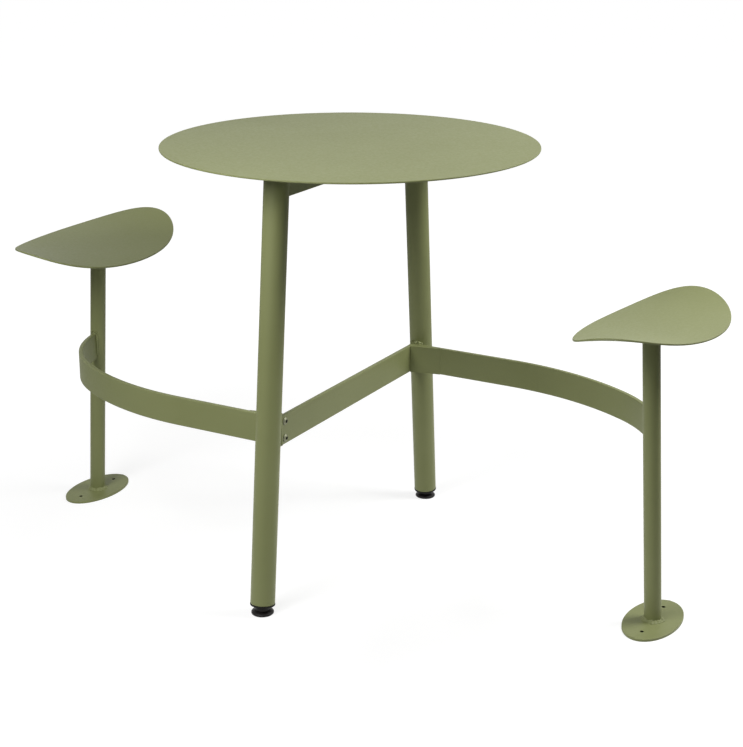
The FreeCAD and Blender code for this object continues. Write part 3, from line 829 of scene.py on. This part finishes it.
def makeLegWeld(side, turned):
    weld = legWeld
    bm = bmesh.new()
    middle = legX(barTop)
    over = [(middle + x, legEdge(middle + x, barTop) - weld["overInset"], barTop + lift)
            for x, lift in weld["over"]]
    addBead(bm, over, weld["overRadius"])
    for x, lift, radius in weld["lumps"]:
        ends = []
        for sign, inset, rise in zip((-1, 1), weld["lumpInset"], (0, weld["lumpRise"])):
            end = middle + x + sign * weld["lumpReach"]
            ends.append((end, legEdge(middle + x, barTop) - inset, barTop + lift + rise))
        addBead(bm, ends, radius)
    for sign in (-1, 1):
        flank = []
        for z in weld["flankLevels"]:
            aside = legX(z) + sign * (weld["flankAside"] + (barTop - z) * weld["flankSpread"])
            flank.append((aside, (legEdge(aside, z) + armOuter) / 2, z))
        addBead(bm, flank, weld["flankRadius"])
    finishPiece(bm, side + "LegWeld", turned=turned)


# arm to post: down both faces of the bar, and a bead with lumps on its top edge
armWeld = {
    "faces": ((-1, 0.007, 0.0028), (1, 0.0015, 0.0017)),      # side, lower end and radius
    "below": 0.001, "out": 0.0006, "ahead": 0.001, "lean": 0.8,
    "topLift": 0.0004, "topReach": 0.004, "topRadius": 0.0032,
    "lumps": ((0.0052, 0.0032), (-0.0014, 0.0042), (-0.0052, 0.0026)),      # place and lift
    "lumpAhead": 0.0012, "lumpReach": 0.0012, "lumpRadius": 0.0018,
}


def makeArmWeld(hand, turned):
    weld = armWeld
    bm = bmesh.new()
    ahead = Vector((math.cos(armTurn), -math.sin(armTurn), 0))
    across = Vector((math.sin(armTurn), math.cos(armTurn), 0))
    for sign, low, radius in weld["faces"]:
        line = []
        for z in (flatBar["bottom"] + low, barMiddle, barTop - weld["below"]):
            drift = Vector((postX(z) - postX(barMiddle), 0, 0))
            line.append(armEnd + drift * weld["lean"] + across * sign * (halfBar + weld["out"])
                        + ahead * weld["ahead"] + Vector((0, 0, z)))
        addBead(bm, line, radius)
    lift = Vector((0, 0, barTop + weld["topLift"]))
    drift = Vector((postX(barTop) - postX(barMiddle), 0, 0))
    addBead(bm, [armEnd + drift + across * weld["topReach"] + lift,
                 armEnd + drift - across * weld["topReach"] + lift], weld["topRadius"])
    for aside, rise in weld["lumps"]:
        spot = (armEnd + drift + across * aside + ahead * weld["lumpAhead"] + lift
                + Vector((0, 0, rise)))
        addBead(bm, [spot - across * weld["lumpReach"], spot + across * weld["lumpReach"]],
                weld["lumpRadius"])
    finishPiece(bm, hand + "ArmWeld", turned=turned)


# wedge to arm, along the top
wedgeWeld = {"from": 0.002, "to": 0.04, "inset": 0.0006, "sunk": 0.0004, "radius": 0.001}


def makeWedgeWeld(side, turned):
    bm = bmesh.new()
    addBead(bm, [(x, armInner - wedgeWeld["inset"], barTop - wedgeWeld["sunk"])
                 for x in (halfBar + wedgeWeld["from"], halfBar + wedgeWeld["to"])],
            wedgeWeld["radius"])
    finishPiece(bm, side + "WedgeWeld", turned=turned)


# top crossbar to leg, down both faces of the bar
crossbarWeld = {"above": 0.001, "below": 0.002, "out": 0.0006, "inset": 0.0004, "radius": 0.0022}


def makeCrossbarWeld(side, turned):
    weld = crossbarWeld
    bm = bmesh.new()
    high = legLine["plateUnder"]
    for sign in (-1, 1):
        aside = sign * (halfBar + weld["out"])
        line = [(aside, legEdge(aside, z) - weld["inset"], z)
                for z in (high - topCrossbar["height"] + weld["above"], high - weld["below"])]
        addBead(bm, line, weld["radius"])
    finishPiece(bm, side + "CrossbarWeld", turned=turned)


mountWeld = {"size": 0.003, "waves": 20}


def makeMountWeld(side, turned):
    high = legLine["plateUnder"]
    ring = rippledRing(legLine["radius"], mountWeld["size"], mountWeld["waves"])
    move(ring, Matrix.Translation((legX(high), legY(high), high))
         @ Matrix.Rotation(math.pi, 4, "X"))
    finishPiece(ring, side + "MountWeld", turned=turned)


for side, hand, turned in halves:
    makeLegWeld(side, turned)
    makeArmWeld(hand, turned)
    makeWedgeWeld(side, turned)
    makeCrossbarWeld(side, turned)
    makeMountWeld(side, turned)
print("welds laid")

studio = {
    # each softbox: bearing and height in degrees, then distance, size and power
    "softboxes": {"right": (26, 42, 2.0, 0.7, 26), "rightLow": (42, 28, 2.3, 0.9, 12.5),
                  "left": (-106, 36, 1.5, 0.6, 11), "front": (-88, 48, 2.3, 0.9, 10.5),
                  "frontFar": (-90, 25, 3.6, 1.8, 20)},
    "aim": (0, 0, 0.4),
    "worldShade": 0.0,      # on matte surfaces; the camera and gloss see white
    # the floor near the object and far from it, for matte surfaces, for gloss and for the camera
    "floorShade": (0.6, 0.05), "floorGloss": (1.0, 0.5), "seenGlow": (0.8, 1.0),
    "seenShade": 0.3, "nearRadius": 0.6, "farRadius": 1.5,
    "floorRadius": 24, "floorSteps": 96, "floorDrop": 0.0003,
}


def addSoftbox(name, bearing, height, distance, size, power):
    data = bpy.data.lights.new(name, "AREA")
    data.energy = power
    data.size = size
    lamp = bpy.data.objects.new(name, data)
    bpy.context.scene.collection.objects.link(lamp)
    around, up = math.radians(bearing), math.radians(height)
    away = Vector((math.cos(around) * math.cos(up), math.sin(around) * math.cos(up), math.sin(up)))
    place = Vector(studio["aim"]) + away * distance
    facing = away.to_track_quat("Z", "Y").to_matrix().to_4x4()
    lamp.matrix_world = Matrix.Translation(place) @ facing


def makeWorld():
    world = bpy.data.worlds.new("studioWorld")
    bpy.context.scene.world = world
    sky = Finish(world, "Background")
    direct = sky.ray("Camera") + sky.ray("Glossy")
    sky.set(Color=sky.blend(direct, grey(studio["worldShade"]), grey(1)))


def makeFloor():
    bm = bmesh.new()
    bmesh.ops.create_circle(bm, cap_ends=True, segments=studio["floorSteps"],
                            radius=studio["floorRadius"])
    bmesh.ops.translate(bm, verts=bm.verts, vec=(0, 0, -studio["floorDrop"]))
    mesh = bpy.data.meshes.new("studioFloor")
    bm.to_mesh(mesh)
    bm.free()
    floor = bpy.data.objects.new("studioFloor", mesh)
    bpy.context.scene.collection.objects.link(floor)
    finish = Finish(bpy.data.materials.new("studioFloor"))
    seen, mirrored = finish.ray("Camera"), finish.ray("Glossy")
    reach = finish.node("ShaderNodeVectorMath", {"operation": "LENGTH"}, [finish.place()], "Value")
    away = finish.between(reach, 0, 1, studio["nearRadius"], studio["farRadius"])
    shade, gloss, seenGlow = (finish.blend(away, *map(grey, studio[word]))
                              for word in ("floorShade", "floorGloss", "seenGlow"))
    unseenGlow = finish.blend(mirrored, grey(0), gloss)
    finish.set(Base_Color=finish.blend(seen, shade, grey(studio["seenShade"])), Roughness=1.0,
               Emission_Color=finish.blend(seen, unseenGlow, seenGlow), Emission_Strength=1.0,
               Specular_IOR_Level=0.0)
    mesh.materials.append(finish.owner)


for name, settings in studio["softboxes"].items():
    addSoftbox(name + "Softbox", *settings)
makeWorld()
makeFloor()
bpy.context.scene.view_settings.view_transform = "Standard"
print("studio lit")
